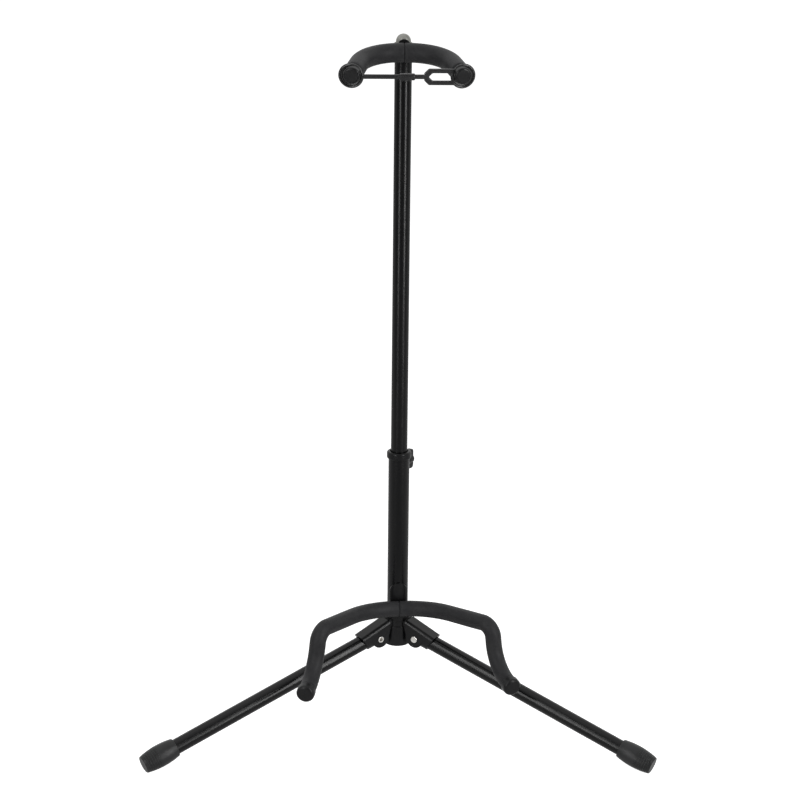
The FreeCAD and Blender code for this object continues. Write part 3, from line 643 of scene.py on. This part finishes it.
@dataclass
class FoamSleeve:
    """One half of a foam grip on a bent rod, with a notch behind its middle for the bracket."""

    name: str
    node: str
    body: str
    line: BentLine
    place: Matrix
    diameter_mm: float
    bore_mm: float
    notch_half_mm: float
    notch_front_mm: float
    turn: Matrix
    end_round_mm: float = 1.6
    end_steps: int = 3
    seam_round_mm: float = 1.1
    seam_gap_mm: float = 0.12
    seam_step: float = 0.3
    seam_narrow: float = 0.4
    lip_mm: float = 0.1
    bore_depth_rounds: int = 3
    notch_edge_mm: float = 0.05
    wave_mm: float = 0.16
    wave_level: float = 0.55
    wave_pitch_mm: float = 26.0
    step_mm: float = 4.0
    arc_step_deg: float = 4.0
    arc_least_steps: int = 3
    facets: int = 56

    def grow(
        self, bm: bmesh.types.BMesh, ring: list[Any], shift: Vector, scale: float
    ) -> list[Any]:
        """Extrude the open ring once, then move and scale the new ring about its own centre.

        Args:
            bm: The shape being built.
            ring: Edges of the open ring.
            shift: How far the new ring moves.
            scale: How much wider or narrower it gets.

        Returns:
            Edges of the new ring.
        """
        made = bmesh.ops.extrude_edge_only(bm, edges=ring)["geom"]
        verts = [item for item in made if isinstance(item, bmesh.types.BMVert)]
        bmesh.ops.translate(bm, verts=verts, vec=shift)
        centre = sum((vert.co for vert in verts), Vector()) / len(verts)
        bmesh.ops.scale(bm, verts=verts, vec=(scale,) * 3, space=Matrix.Translation(-centre))
        return [item for item in made if isinstance(item, bmesh.types.BMEdge)]

    def follow(self, bm: bmesh.types.BMesh, ring: list[Any], line: BentLine) -> list[Any]:
        """Carry the ring along the whole line.

        Args:
            bm: The shape being built.
            ring: Edges of the first ring.
            line: The line, which starts in the ring's plane.

        Returns:
            Edges of the last ring.
        """
        for shift, centre, axis, angle in line.runs():
            if angle:
                steps = round(angle / math.radians(self.arc_step_deg))
                made = bmesh.ops.spin(
                    bm, geom=ring, cent=centre, axis=axis, angle=angle,
                    steps=max(self.arc_least_steps, steps), use_merge=False,
                    use_duplicate=False,
                )["geom_last"]
                ring = [item for item in made if isinstance(item, bmesh.types.BMEdge)]
            elif shift.length > SLIGHT_M:
                steps = max(1, round(shift.length / (self.step_mm * MM)))
                for _ in range(steps):
                    ring = self.grow(bm, ring, shift / steps, 1.0)
        return ring

    def notch(self, bm: bmesh.types.BMesh, side: float) -> None:
        """Flatten the sleeve's back near the middle, where the bracket reaches its rod.

        Args:
            bm: The shape, placed but not yet turned with its post.
            side: Sign of the side that the sleeve is on.
        """
        edge = side * self.notch_half_mm * MM
        for place in (edge, edge + side * self.notch_edge_mm * MM):
            bmesh.ops.bisect_plane(
                bm, geom=bm.verts[:] + bm.edges[:] + bm.faces[:], dist=ON_PLANE_M,
                plane_co=(place, 0.0, 0.0), plane_no=(1.0, 0.0, 0.0),
            )
        front = -self.notch_front_mm * MM
        for vert in bm.verts:
            if side * vert.co.x < self.notch_half_mm * MM + SLIGHT_M:
                vert.co.y = min(vert.co.y, front)

    def waver(self, bm: bmesh.types.BMesh) -> None:
        """Give the skin the slight hills and hollows of foam pushed over a bent rod.

        Args:
            bm: The shape, placed but not yet turned with its post.
        """
        bm.normal_update()
        moves = []
        for vert in bm.verts:
            share = noise.noise(vert.co / (self.wave_pitch_mm * MM)) - self.wave_level
            moves.append(vert.normal * share * self.wave_mm * MM)
        for vert, move in zip(bm.verts, moves):
            vert.co += move

    def build(self, palette: Palette, side: Side) -> None:
        """Make the sleeve in place of its plain solid.

        Args:
            palette: Where its finish comes from.
            side: Which half of the rod it covers.
        """
        bm = bmesh.new()
        radius = self.diameter_mm / 2 * MM
        along = (self.line.points[1] - self.line.points[0]).normalized()
        facing = AXIS_Z.rotation_difference(along).to_matrix().to_4x4()
        seam = self.seam_round_mm * MM
        start = self.line.points[0] + along * (seam + self.seam_gap_mm * MM)
        bmesh.ops.create_circle(
            bm, cap_ends=True, segments=self.facets, radius=radius - seam,
            matrix=Matrix.Translation(start - along * seam) @ facing,
        )
        narrow = radius - seam * self.seam_narrow
        first = along * seam * self.seam_step
        ring = self.grow(bm, bm.edges[:], first, narrow / (radius - seam))
        ring = self.grow(bm, ring, along * seam - first, radius / narrow)
        ring = self.follow(bm, ring, BentLine([start] + self.line.points[1:], self.line.radii))
        ahead = (self.line.points[-1] - self.line.points[-2]).normalized()
        soft = self.end_round_mm * MM
        width = radius
        quarter_step = math.radians(90) / self.end_steps
        for number in range(1, self.end_steps + 1):
            turned = quarter_step * number
            narrow = radius - soft * (1 - math.cos(turned))
            step = soft * (math.sin(turned) - math.sin(turned - quarter_step))
            ring = self.grow(bm, ring, ahead * step, narrow / width)
            width = narrow
        bore = self.bore_mm / 2 * MM
        ring = self.grow(bm, ring, ahead * self.lip_mm * MM, bore / width)
        ring = self.grow(bm, ring, -ahead * self.bore_depth_rounds * soft, 1.0)
        bmesh.ops.contextual_create(bm, geom=ring)
        bmesh.ops.transform(bm, matrix=self.place, verts=bm.verts)
        self.waver(bm)
        self.notch(bm, side.value)
        bmesh.ops.transform(bm, matrix=self.turn, verts=bm.verts)
        piece = finish_mesh(bm, self.name)
        palette.dress(piece, Finish.FOAM)
        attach(piece, self.body)
        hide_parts(self.node)
        log.info("%s: %d faces, for %s", piece.name, len(piece.data.polygons), self.node)


def turned_about_pole(pole_y: float, degrees: float) -> Matrix:
    """Turn about the pole, from the pole's own frame into the stand's.

    Args:
        pole_y: Where the pole stands, in metres along Y.
        degrees: How far the piece is turned.

    Returns:
        The turn and then the shift to the stand's frame.
    """
    return Matrix.Translation((0.0, pole_y, 0.0)) @ Matrix.Rotation(math.radians(degrees), 4, "Z")


@dataclass
class NeckYoke:
    """Padded yoke and rubber strap that hold the guitar's neck."""

    pole_y: float
    turn_deg: float = 1.7
    tip_down_deg: float = 12.0
    bar_reach_mm: float = 18.0
    bar_z_mm: float = 710.987
    shoulder_half_mm: float = 37.6
    shoulder_radius_mm: float = 43.4
    tip_half_mm: float = 53.5
    reach_mm: float = 68.3
    foam_mm: float = 19.0
    rod_mm: float = 8.0
    bore_gap_mm: float = 0.1
    cap_length_mm: float = 6.5
    strap_space_mm: float = 4.6
    notch_half_mm: float = 6.9
    notch_front_mm: float = 14.4
    ring_mm: float = 24.8
    ring_thick_mm: float = 3.0
    ring_steps: int = 72
    rim_mm: float = 2.9
    rim_facets: int = 20
    web_thick_mm: float = 1.9
    web_back_mm: float = 0.35
    web_facets: int = 12
    hang_mm: float = 2.7
    spread_mm: float = 2.0
    seat_gap_mm: float = 0.3
    band_height_mm: float = 4.4
    band_thick_mm: float = 3.0
    band_round_mm: float = 1.2
    band_tuck_mm: float = 1.5
    pad_width_mm: float = 15.0
    pad_height_mm: float = 6.4
    pad_rise_mm: float = 0.7
    pad_round_mm: float = 1.0
    frame_inner_mm: float = 16.3
    frame_height_mm: float = 16.0
    frame_side_mm: float = 4.1
    frame_end_mm: float = 4.7
    frame_corner_mm: float = 4.4
    slot_corner_mm: float = 3.3
    frame_tuck_mm: float = 1.9
    frame_round_mm: float = 0.9
    corner_least_rad: float = 0.3

    def place(self) -> Matrix:
        """Tip the flat yoke down and set it on its crossbar's place.

        Returns:
            From the yoke's flat frame into the pole's frame.
        """
        tip = Matrix.Rotation(math.radians(self.tip_down_deg), 4, "X")
        return Matrix.Translation((0.0, -self.bar_reach_mm * MM, self.bar_z_mm * MM)) @ tip

    def line(self, side: Side) -> BentLine:
        """Centre line of one half in the yoke's flat frame.

        Args:
            side: Which half.

        Returns:
            The line from the middle to the tip.
        """
        out = side.value * MM
        points = [
            Vector((0.0, 0.0, 0.0)),
            Vector((self.shoulder_half_mm * out, 0.0, 0.0)),
            Vector((self.tip_half_mm * out, -self.reach_mm * MM, 0.0)),
        ]
        return BentLine(points, [self.shoulder_radius_mm * MM])

    def ring_place(self, side: Side) -> tuple[Vector, Vector]:
        """Centre and facing of one strap ring in the flat frame.

        Args:
            side: Which end of the strap.

        Returns:
            The ring's centre and the arm's direction through it.
        """
        points = self.line(side).points
        along = (points[-1] - points[-2]).normalized()
        outward = Vector((-along.y, along.x, 0.0)) * side.value
        back = (self.cap_length_mm + self.strap_space_mm / 2) * MM
        centre = points[-1] - along * back + outward * self.spread_mm * MM
        return centre - AXIS_Z * self.hang_mm * MM, along

    def add_ring(self, bm: bmesh.types.BMesh, side: Side) -> None:
        """Add one ring of the strap: a round rim and a thinner web inside it.

        Args:
            bm: The strap being built, in the flat frame.
            side: Which end of the strap.
        """
        centre, along = self.ring_place(side)
        outer = self.ring_mm / 2 * MM
        hole = (math.hypot(self.hang_mm, self.spread_mm) + self.rod_mm / 2 + self.seat_gap_mm) * MM
        rim_half = self.rim_mm / 2 * MM
        web_half = (outer - rim_half - hole) / 2
        upright = Matrix.Rotation(math.radians(90), 4, "X")
        rim = (
            Matrix.Translation((outer - rim_half, 0.0, 0.0)) @ upright
            @ Matrix.Diagonal((rim_half, self.ring_thick_mm / 2 * MM, 1.0, 1.0))
        )
        web = (
            Matrix.Translation((hole + web_half, 0.0, -self.web_back_mm * MM)) @ upright
            @ Matrix.Diagonal((web_half, self.web_thick_mm / 2 * MM, 1.0, 1.0))
        )
        spin_section(bm, self.rim_facets, 1.0, rim, self.ring_steps)
        spin_section(bm, self.web_facets, 1.0, web, self.ring_steps)
        facing = AXIS_Z.rotation_difference(along).to_matrix().to_4x4()
        self.settle(bm, Matrix.Translation(centre) @ facing)
        log.info("strap ring %s: rim and web spun", side.name.lower())

    def settle(self, bm: bmesh.types.BMesh, place: Matrix) -> None:
        """Move what was made at the origin since the last call to its place.

        Args:
            bm: The strap being built.
            place: Where the new shape goes.
        """
        fresh = [vert for vert in bm.verts if not vert.tag]
        bmesh.ops.transform(bm, matrix=place, verts=fresh)
        for vert in fresh:
            vert.tag = True

    def add_bar(
        self, bm: bmesh.types.BMesh, low: Vector, high: Vector, round_mm: float
    ) -> None:
        """Add a rounded bar between two corners of the flat frame.

        Args:
            bm: The strap being built.
            low: Lowest corner, in metres.
            high: Highest corner, in metres.
            round_mm: Radius on its edges.
        """
        size = high - low
        made = bmesh.ops.create_cube(
            bm, size=1.0,
            matrix=Matrix.Translation((low + high) / 2) @ Matrix.Diagonal((*size, 1.0)),
        )["verts"]
        bmesh.ops.bevel(
            bm, geom=edges_of(made), offset=round_mm * MM, offset_type="OFFSET", segments=4,
            profile=0.5, affect="EDGES", material=-1,
        )
        self.settle(bm, Matrix.Identity(4))

    def add_frame(self, bm: bmesh.types.BMesh, join_x: float, y_mid: float, z_mid: float) -> None:
        """Add the slotted frame with its cut corners beside the right ring.

        Args:
            bm: The strap being built.
            join_x: Where the frame runs into the ring.
            y_mid: Middle of the strap's thickness.
            z_mid: Height of the strap's middle.
        """
        half = self.frame_height_mm / 2 * MM
        start = self.frame_inner_mm * MM
        cut = self.frame_corner_mm * MM
        slot_half = half - self.frame_side_mm * MM
        slot_start = start + self.frame_end_mm * MM
        slot_cut = self.slot_corner_mm * MM
        slot_end = join_x - self.frame_tuck_mm * MM
        back = y_mid + self.band_thick_mm / 2 * MM
        loops = []
        for near, far, high, corner in (
            (start, join_x, half, cut), (slot_start, slot_end, slot_half, slot_cut)
        ):
            outline = [
                (far, high), (far, -high), (near + corner, -high), (near, corner - high),
                (near, high - corner), (near + corner, high),
            ]
            verts = [bm.verts.new((x, back, z_mid + z)) for x, z in outline]
            loops += [bm.edges.new((a, b)) for a, b in zip(verts, verts[1:] + verts[:1])]
        faces = bmesh.ops.bridge_loops(bm, edges=loops)["faces"]
        made = bmesh.ops.extrude_face_region(bm, geom=faces, use_keep_orig=True)["geom"]
        verts = [item for item in made if isinstance(item, bmesh.types.BMVert)]
        bmesh.ops.translate(bm, verts=verts, vec=(0.0, -self.band_thick_mm * MM, 0.0))
        fresh = [edge for edge in bm.edges if not edge.verts[0].tag]
        sharp = [
            edge for edge in fresh
            if edge.is_manifold and edge.calc_face_angle() > self.corner_least_rad
        ]
        bmesh.ops.bevel(
            bm, geom=sharp, offset=self.frame_round_mm * MM, offset_type="OFFSET", segments=3,
            profile=0.5, affect="EDGES", material=-1, clamp_overlap=True,
        )
        self.settle(bm, Matrix.Identity(4))

    def build_strap(self, palette: Palette) -> None:
        """Make the neck strap in place of its plain solid.

        Args:
            palette: Where its finish comes from.
        """
        bm = bmesh.new()
        for side in Side:
            self.add_ring(bm, side)
        centre, along = self.ring_place(Side.RIGHT)
        wall = (self.ring_mm - self.rim_mm) / 2 * MM
        join_x = centre.x - wall * abs(along.y)
        y_mid = centre.y - wall * along.x
        half_thick = self.band_thick_mm / 2 * MM
        half_high = self.band_height_mm / 2 * MM
        pad_half = self.pad_width_mm / 2 * MM
        pad_high = self.pad_height_mm / 2 * MM
        band_end = (self.frame_inner_mm + self.band_tuck_mm) * MM
        pad_front = y_mid - half_thick - self.pad_rise_mm * MM
        self.add_bar(
            bm, Vector((-join_x, y_mid - half_thick, centre.z - half_high)),
            Vector((band_end, y_mid + half_thick, centre.z + half_high)), self.band_round_mm,
        )
        self.add_bar(
            bm, Vector((-pad_half, pad_front, centre.z - pad_high)),
            Vector((pad_half, y_mid + half_thick, centre.z + pad_high)), self.pad_round_mm,
        )
        self.add_frame(bm, join_x + self.frame_tuck_mm * MM, y_mid, centre.z)
        bmesh.ops.transform(bm, matrix=self.place(), verts=bm.verts)
        bmesh.ops.transform(
            bm, matrix=turned_about_pole(self.pole_y, self.turn_deg), verts=bm.verts
        )
        piece = finish_mesh(bm, "rubber_neck_strap", 50.0)
        palette.dress(piece, Finish.STRAP)
        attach(piece, "yoke")
        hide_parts("neck_strap")
        log.info("%s: %d faces", piece.name, len(piece.data.polygons))

    def build(self, palette: Palette) -> None:
        """Make both foam sleeves and the strap.

        Args:
            palette: Where their finishes come from.
        """
        bare = self.cap_length_mm + self.strap_space_mm + FoamSleeve.end_round_mm
        for side in Side:
            sleeve = FoamSleeve(
                name="foam_grip_yoke_" + side.name.lower(),
                node="yoke_foam_" + side.name.lower(),
                body="yoke",
                line=self.line(side).shortened(bare * MM),
                place=self.place(),
                diameter_mm=self.foam_mm,
                bore_mm=self.rod_mm + self.bore_gap_mm,
                notch_half_mm=self.notch_half_mm,
                notch_front_mm=self.notch_front_mm,
                turn=turned_about_pole(self.pole_y, self.turn_deg),
            )
            sleeve.build(palette, side)
        self.build_strap(palette)


@dataclass
class Cradle:
    """Padded arms that the guitar's body stands on."""

    pole_y: float
    turn_deg: float = 4.7
    bar_reach_mm: float = 18.0
    bar_z_mm: float = 124.787
    shoulder_half_mm: float = 32.2
    shoulder_radius_mm: float = 64.6
    corner_half_mm: float = 89.3
    corner_reach_mm: float = 71.4
    corner_rise_mm: float = 8.7
    corner_radius_mm: float = 13.0
    bend_half_mm: float = 94.4
    bend_drop_mm: float = 39.5
    bend_radius_mm: float = 31.9
    tip_half_mm: float = 106.4
    tip_reach_mm: float = 111.2
    tip_drop_mm: float = 44.6
    foam_mm: float = 16.7
    rod_mm: float = 8.0
    bore_gap_mm: float = 0.1
    cap_length_mm: float = 8.5
    notch_half_mm: float = 9.75

    def line(self, side: Side) -> BentLine:
        """Centre line of one arm in the pole's frame, before the post's turn.

        Args:
            side: Which arm.

        Returns:
            The line from the middle of the crossbar to the tip.
        """
        out = side.value
        reach = self.bar_reach_mm
        corner_y = -reach - self.corner_reach_mm
        rows = [
            (0.0, -reach, self.bar_z_mm),
            (out * self.shoulder_half_mm, -reach, self.bar_z_mm),
            (out * self.corner_half_mm, corner_y, self.bar_z_mm + self.corner_rise_mm),
            (out * self.bend_half_mm, corner_y, self.bar_z_mm - self.bend_drop_mm),
            (out * self.tip_half_mm, -reach - self.tip_reach_mm, self.bar_z_mm - self.tip_drop_mm),
        ]
        radii = [self.shoulder_radius_mm, self.corner_radius_mm, self.bend_radius_mm]
        return BentLine([Vector(row) * MM for row in rows], [radius * MM for radius in radii])

    def build(self, palette: Palette) -> None:
        """Make both foam sleeves.

        Args:
            palette: Where their finish comes from.
        """
        bare = self.cap_length_mm + FoamSleeve.end_round_mm
        for side in Side:
            sleeve = FoamSleeve(
                name="foam_grip_cradle_" + side.name.lower(),
                node="cradle_foam_" + side.name.lower(),
                body="base",
                line=self.line(side).shortened(bare * MM),
                place=Matrix.Identity(4),
                diameter_mm=self.foam_mm,
                bore_mm=self.rod_mm + self.bore_gap_mm,
                notch_half_mm=self.notch_half_mm,
                notch_front_mm=self.bar_reach_mm,
                turn=turned_about_pole(self.pole_y, self.turn_deg),
            )
            sleeve.build(palette, side)


@dataclass
class HeightClamp:
    """Weld bead that holds the clamp screw's boss on the lower tube."""

    pole_y: float
    azimuth_deg: float = 55.7
    height_mm: float = 281.487
    boss_mm: float = 11.0
    tube_mm: float = 22.0
    bead_mm: float = 1.7
    proud_share: float = 0.1
    ripple_mm: float = 0.14
    ripples: int = 22
    facets: int = 14
    steps: int = 132

    def build(self, palette: Palette) -> None:
        """Make the bead round the foot of the boss.

        Args:
            palette: Where its finish comes from.
        """
        bm = bmesh.new()
        ring = self.boss_mm / 2 * MM
        tube = self.tube_mm / 2 * MM
        half = self.bead_mm / 2 * MM
        place = Matrix.Translation((ring, 0.0, 0.0)) @ Matrix.Rotation(math.radians(90), 4, "X")
        spin_section(bm, self.facets, half, place, self.steps)
        for vert in bm.verts:
            around = math.atan2(vert.co.y, vert.co.x)
            out = Vector((vert.co.x, vert.co.y, 0.0)).normalized() * ring
            swell = 1 + self.ripple_mm / self.bead_mm * math.sin(self.ripples * around)
            vert.co = out + (vert.co - out) * swell
        lie = Matrix.Rotation(math.radians(90), 4, "Y")
        bmesh.ops.transform(bm, matrix=lie, verts=bm.verts)
        for vert in bm.verts:
            wall = math.sqrt(max(tube * tube - vert.co.y * vert.co.y, 0.0))
            vert.co.x += wall + self.proud_share * half
        lift = Matrix.Translation((0.0, 0.0, self.height_mm * MM))
        bmesh.ops.transform(
            bm, matrix=turned_about_pole(self.pole_y, self.azimuth_deg) @ lift, verts=bm.verts
        )
        piece = finish_mesh(bm, "clamp_boss_weld")
        palette.dress(piece, Finish.GLOSS_TUBE)
        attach(piece, "base")
        log.info("%s: %d faces", piece.name, len(piece.data.polygons))


@dataclass(frozen=True)
class Softbox:
    """One soft lamp of the studio."""

    name: str
    watts: float
    width: float
    height: float
    place: tuple[float, float, float]
    aim: tuple[float, float, float]

    def build(self) -> None:
        """Hang the lamp and point it at its aim."""
        lamp = bpy.data.lights.new(self.name, "AREA")
        lamp.shape = "RECTANGLE"
        lamp.size = self.width
        lamp.size_y = self.height
        lamp.energy = self.watts
        holder = bpy.data.objects.new(self.name, lamp)
        bpy.context.scene.collection.objects.link(holder)
        look = Vector(self.aim) - Vector(self.place)
        holder.rotation_euler = look.to_track_quat("-Z", "Y").to_euler()
        holder.location = self.place
        holder.visible_camera = False


@dataclass
class Studio:
    """Floor that looks white to the camera, surroundings, soft lamps and the camera's place."""

    floor_radius: float = 14.0
    floor_facets: int = 96
    floor_colour: str = "#c8c8c8"
    floor_glow: float = 0.95
    floor_mirror: float = 0.35
    mirror_span_m: tuple[float, float] = (-0.6, -0.2)
    fill: float = 0.24
    dark_side: float = 0.12
    dark_span: tuple[float, float] = (-0.75, 0.1)
    camera_place: tuple[float, float, float] = (-0.0392, -2.0607, 0.9494)
    heading_deg: float = 1.14
    pitch_deg: float = 16.75
    roll_deg: float = 0.62
    lens_mm: float = 90.0
    sensor_mm: float = 36.0
    camera_reach: float = 60.0
    lamps: tuple[Softbox, ...] = (
        Softbox(
            "left_strip", watts=20.0, width=0.3, height=2.2, place=(-1.05, -1.6, 0.75),
            aim=(0.0, -0.07, 0.35)
        ),
        Softbox(
            "right_strip", watts=31.0, width=0.3, height=2.2, place=(1.3, -1.5, 0.75),
            aim=(0.0, -0.07, 0.35)
        ),
        Softbox(
            "overhead_box", watts=9.0, width=3.0, height=2.6, place=(-0.3, -0.3, 2.7),
            aim=(0.0, -0.05, 0.3)
        ),
    )

    def add_white_to_eye(
        self, tree: NodeTree, output: str, span: tuple[float, float], least: float,
        most: float,
    ) -> Node:
        """Add a strength of 1 for the camera, and one that grows towards the back for mirrors.

        Args:
            tree: Node tree that gets the nodes.
            output: Output of the coordinates that tells front from back by its Y.
            span: Y where the mirrored strength starts to grow and where it is full.
            least: Strength that glossy and transmission rays see in front.
            most: Strength that they see behind.

        Returns:
            Node whose Value is the strength.
        """
        path = add_node(tree, "ShaderNodeLightPath")
        place = add_node(tree, "ShaderNodeTexCoord")
        parts = add_node(tree, "ShaderNodeSeparateXYZ", None, {"Vector": (place, output)})
        behind = add_range(tree, (parts, "Y"), span, (least, most))
        shiny = add_node(
            tree, "ShaderNodeMath", {"operation": "MAXIMUM"},
            {0: (path, "Is Glossy Ray"), 1: (path, "Is Transmission Ray")},
        )
        mirrored = add_node(
            tree, "ShaderNodeMath", {"operation": "MULTIPLY"},
            {0: (shiny, "Value"), 1: (behind, "Result")},
        )
        return add_node(
            tree, "ShaderNodeMath", {"operation": "MAXIMUM"},
            {0: (path, "Is Camera Ray"), 1: (mirrored, "Value")},
        )

    def build_floor(self) -> None:
        """Lay the floor: pale grey to the lamps, and lifted to white for the camera."""
        bm = bmesh.new()
        bmesh.ops.create_circle(
            bm, cap_ends=True, segments=self.floor_facets, radius=self.floor_radius
        )
        mesh = bpy.data.meshes.new("floor")
        bm.to_mesh(mesh)
        bm.free()
        floor = bpy.data.objects.new("floor", mesh)
        bpy.context.scene.collection.objects.link(floor)
        material, tree = new_tree("matte_white_paper")
        paper = add_node(
            tree, "ShaderNodeBsdfDiffuse", {"Color": linear(self.floor_colour), "Roughness": 0.2}
        )
        seen = self.add_white_to_eye(tree, "Object", self.mirror_span_m, 0.0, self.floor_mirror)
        glow = add_node(
            tree, "ShaderNodeMath",
            {"operation": "MULTIPLY", 1: self.floor_glow}, {0: (seen, "Value")},
        )
        light = add_node(tree, "ShaderNodeEmission", None, {"Strength": (glow, "Value")})
        both = add_node(
            tree, "ShaderNodeAddShader", None, {0: (paper, "BSDF"), 1: (light, "Emission")}
        )
        add_node(tree, "ShaderNodeOutputMaterial", None, {"Surface": (both, "Shader")})
        mesh.materials.append(material)

    def build_world(self) -> None:
        """Make the surroundings: white to the camera and behind, dimmer towards the front."""
        world = bpy.data.worlds.new("studio")
        world.use_nodes = True
        tree = world.node_tree
        tree.nodes.clear()
        seen = self.add_white_to_eye(tree, "Generated", self.dark_span, self.dark_side, 1.0)
        strength = add_node(
            tree, "ShaderNodeMath", {"operation": "MAXIMUM", 1: self.fill}, {0: (seen, "Value")}
        )
        ground = add_node(
            tree, "ShaderNodeBackground", {"Color": (1.0, 1.0, 1.0, 1.0)},
            {"Strength": (strength, "Value")},
        )
        add_node(tree, "ShaderNodeOutputWorld", None, {"Surface": (ground, "Background")})
        bpy.context.scene.world = world

    def build_camera(self) -> None:
        """Set the camera where the photograph was taken from."""
        data = bpy.data.cameras.new("camera")
        data.lens = self.lens_mm
        data.sensor_width = self.sensor_mm
        data.sensor_fit = "HORIZONTAL"
        data.clip_end = self.camera_reach
        holder = bpy.data.objects.new("camera", data)
        bpy.context.scene.collection.objects.link(holder)
        heading = math.radians(self.heading_deg)
        pitch = math.radians(self.pitch_deg)
        level = Vector((math.sin(heading), math.cos(heading), 0.0))
        ahead = level * math.cos(pitch) - AXIS_Z * math.sin(pitch)
        right = ahead.cross(AXIS_Z).normalized()
        above = right.cross(ahead)
        roll = math.radians(self.roll_deg)
        right_rolled = right * math.cos(roll) + above * math.sin(roll)
        above_rolled = above * math.cos(roll) - right * math.sin(roll)
        turn = Matrix((right_rolled, above_rolled, -ahead)).transposed()
        holder.matrix_world = Matrix.Translation(self.camera_place) @ turn.to_4x4()
        bpy.context.scene.camera = holder

    def build(self) -> None:
        """Make floor, surroundings, lamps and camera."""
        self.build_floor()
        self.build_world()
        for lamp in self.lamps:
            lamp.build()
        self.build_camera()
        bpy.context.scene.view_settings.view_transform = "Standard"


def pole_place() -> float:
    """Find the pole.

    Returns:
        Where it stands along Y, in metres.
    """
    low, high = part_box("mast_tube")
    return (low[1] + high[1]) / 2


def main() -> None:
    """Build and dress the stand, then the studio round it."""
    logging.basicConfig(level=logging.INFO, format="%(name)s: %(message)s")
    palette = Palette()
    palette.dress_solids(frame["nodes"], frame["record"])
    pole_y = pole_place()
    NeckYoke(pole_y).build(palette)
    Cradle(pole_y).build(palette)
    HeightClamp(pole_y).build(palette)
    Studio().build()


if __name__ == "__main__":
    main()
